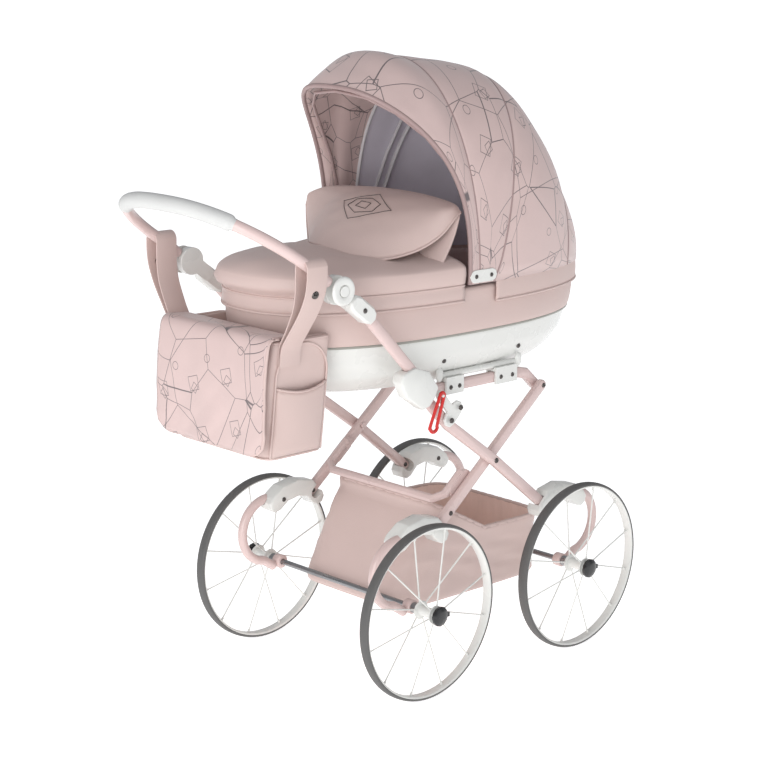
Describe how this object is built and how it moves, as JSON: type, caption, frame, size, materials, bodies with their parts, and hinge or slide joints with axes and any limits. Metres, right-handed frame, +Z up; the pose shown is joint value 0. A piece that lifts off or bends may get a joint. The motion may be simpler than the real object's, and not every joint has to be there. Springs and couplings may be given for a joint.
{
  "type": "dolls' pram",
  "caption": "Dolls' pram with spoked wheels, crossed folding frame, lift-off carrycot with folding hood and apron, height-adjusting handle, hanging bag and basket.",
  "frame": {"origin": "on the floor under the middle of the pram's box", "axes": "+Z up, +X towards the hood end, +Y to the left as seen by the one who pushes"},
  "size_m": [0.7448, 0.3816, 0.8345],
  "materials": {
    "frame_paint": "pearly pink gloss paint",
    "white_plastic": "moulded, satin gloss",
    "tyre_rubber": "matt grey foam rubber",
    "black_plastic": "gloss",
    "steel": "bright",
    "faux_leather": "soft, pearly, fine grain",
    "printed_fabric": "satin with a thin printed line pattern",
    "mattress_cover": "plain weave",
    "red_webbing": "woven",
    "foam": "closed-cell foam"
  },
  "bodies": {
    "chassis": {"front_tube_right": "frame_paint", "front_tube_left": "frame_paint", "knuckle_front_right": "white_plastic", "knuckle_front_left": "white_plastic", "spring_front_right": "frame_paint", "spring_front_left": "frame_paint", "front_axle": "steel", "lock_plate_right": "white_plastic", "lock_plate_left": "white_plastic", "lock_cover_right": "white_plastic", "lock_cover_left": "white_plastic", "handle_tube_right": "frame_paint", "handle_tube_left": "frame_paint", "joint_housing_right": "white_plastic", "joint_housing_left": "white_plastic", "basket": "faux_leather"},
    "rear_frame": {"rear_tube_right": "frame_paint", "rear_tube_left": "frame_paint", "knuckle_rear_right": "white_plastic", "knuckle_rear_left": "white_plastic", "spring_rear_right": "frame_paint", "spring_rear_left": "frame_paint", "rear_axle": "steel", "basket_hoop": "frame_paint"},
    "rails": {"rail_right": "frame_paint", "rail_left": "frame_paint", "saddle_back_right": "white_plastic", "saddle_back_left": "white_plastic", "saddle_front_right": "white_plastic", "saddle_front_left": "white_plastic"},
    "carrycot": {"carrycot_shell": "white_plastic", "carrycot_lining": "faux_leather", "mattress": "mattress_cover", "apron": "faux_leather", "hood_bracket_right": "white_plastic", "hood_bracket_left": "white_plastic", "hood_fabric": "printed_fabric"},
    "front_bow": {"hood_front_bow": "white_plastic"},
    "middle_bow": {"hood_middle_bow": "white_plastic"},
    "wind_flap": {"apron_flap": "faux_leather"},
    "handle": {"handle_bar": "frame_paint", "grip": "foam"},
    "button_right": {"button_right": "white_plastic"},
    "button_left": {"button_left": "white_plastic"},
    "changing_bag": {"bag": "faux_leather"},
    "bag_lid": {"bag_flap": "printed_fabric"},
    "pull_loop_right": {"pull_loop_right": "red_webbing"},
    "pull_loop_left": {"pull_loop_left": "red_webbing"},
    "wheel_rear_right": {"wheel_rear_right": "white_plastic", "tyre_rear_right": "tyre_rubber", "hub_cap_rear_right": "black_plastic"},
    "wheel_rear_left": {"wheel_rear_left": "white_plastic", "tyre_rear_left": "tyre_rubber", "hub_cap_rear_left": "black_plastic"},
    "wheel_front_right": {"wheel_front_right": "white_plastic", "tyre_front_right": "tyre_rubber", "hub_cap_front_right": "black_plastic"},
    "wheel_front_left": {"wheel_front_left": "white_plastic", "tyre_front_left": "tyre_rubber", "hub_cap_front_left": "black_plastic"}
  },
  "joints": [
    {"name": "frame_fold", "type": "hinge", "parent": "chassis", "child": "rear_frame", "pos_m": [0.0977, 0, 0.2963], "axis": [0, 1, 0], "range_deg": [0, 45]},
    {"name": "rail_swing", "type": "hinge", "parent": "rear_frame", "child": "rails", "pos_m": [0.2046, 0, 0.383], "axis": [0, 1, 0], "range_deg": [-21, 0]},
    {"name": "carrycot_lift", "type": "slide", "parent": "chassis", "child": "carrycot", "axis": [0, 0, 1], "range_m": [0, 0.25]},
    {"name": "hood_fold", "type": "hinge", "parent": "carrycot", "child": "front_bow", "pos_m": [0.0591, 0, 0.554], "axis": [0, 1, 0], "range_deg": [0, 75], "deforming": ["hood_fabric"]},
    {"name": "middle_bow_fold", "type": "hinge", "parent": "carrycot", "child": "middle_bow", "pos_m": [0.0591, 0, 0.554], "axis": [0, 1, 0], "range_deg": [0, 27]},
    {"name": "wind_flap_fold", "type": "hinge", "parent": "carrycot", "child": "wind_flap", "pos_m": [-0.0079, 0, 0.6041], "axis": [0, 1, 0], "range_deg": [0, 45]},
    {"name": "handle_height", "type": "hinge", "parent": "chassis", "child": "handle", "pos_m": [-0.2044, 0, 0.5655], "axis": [0, 1, 0], "range_deg": [-45, 10]},
    {"name": "button_press_right", "type": "slide", "parent": "handle", "child": "button_right", "axis": [0, 1, 0], "range_m": [0, 0.003], "stiffness_N_per_m": 400},
    {"name": "button_press_left", "type": "slide", "parent": "handle", "child": "button_left", "axis": [0, -1, 0], "range_m": [0, 0.003], "stiffness_N_per_m": 400},
    {"name": "bag_swing", "type": "hinge", "parent": "handle", "child": "changing_bag", "pos_m": [-0.2484, 0, 0.5968], "axis": [0, 1, 0], "range_deg": [-10, 45]},
    {"name": "bag_lid_open", "type": "hinge", "parent": "changing_bag", "child": "bag_lid", "pos_m": [-0.2399, 0, 0.5026], "axis": [0, 1, 0], "range_deg": [0, 80]},
    {"name": "pull_loop_swing_right", "type": "hinge", "parent": "chassis", "child": "pull_loop_right", "pos_m": [-0.0189, 0, 0.4055], "axis": [0, 1, 0], "range_deg": [-25, 25]},
    {"name": "pull_loop_swing_left", "type": "hinge", "parent": "chassis", "child": "pull_loop_left", "pos_m": [-0.0189, 0, 0.4055], "axis": [0, 1, 0], "range_deg": [-25, 25]},
    {"name": "wheel_spin_rear_right", "type": "hinge", "parent": "rear_frame", "child": "wheel_rear_right", "pos_m": [-0.0519, 0, 0.12], "axis": [0, 1, 0], "continuous": true},
    {"name": "wheel_spin_rear_left", "type": "hinge", "parent": "rear_frame", "child": "wheel_rear_left", "pos_m": [-0.0519, 0, 0.12], "axis": [0, 1, 0], "continuous": true},
    {"name": "wheel_spin_front_right", "type": "hinge", "parent": "chassis", "child": "wheel_front_right", "pos_m": [0.2524, 0, 0.12], "axis": [0, 1, 0], "continuous": true},
    {"name": "wheel_spin_front_left", "type": "hinge", "parent": "chassis", "child": "wheel_front_left", "pos_m": [0.2524, 0, 0.12], "axis": [0, 1, 0], "continuous": true}
  ],
  "couplings": [
    {"joint": "rail_swing", "follows": "frame_fold", "ratio": -0.46},
    {"joint": "carrycot_lift", "follows": "frame_fold", "m_per_rad": 0.318},
    {"joint": "middle_bow_fold", "follows": "hood_fold", "ratio": 0.36},
    {"joint": "bag_swing", "follows": "handle_height", "ratio": -1}
  ]
}
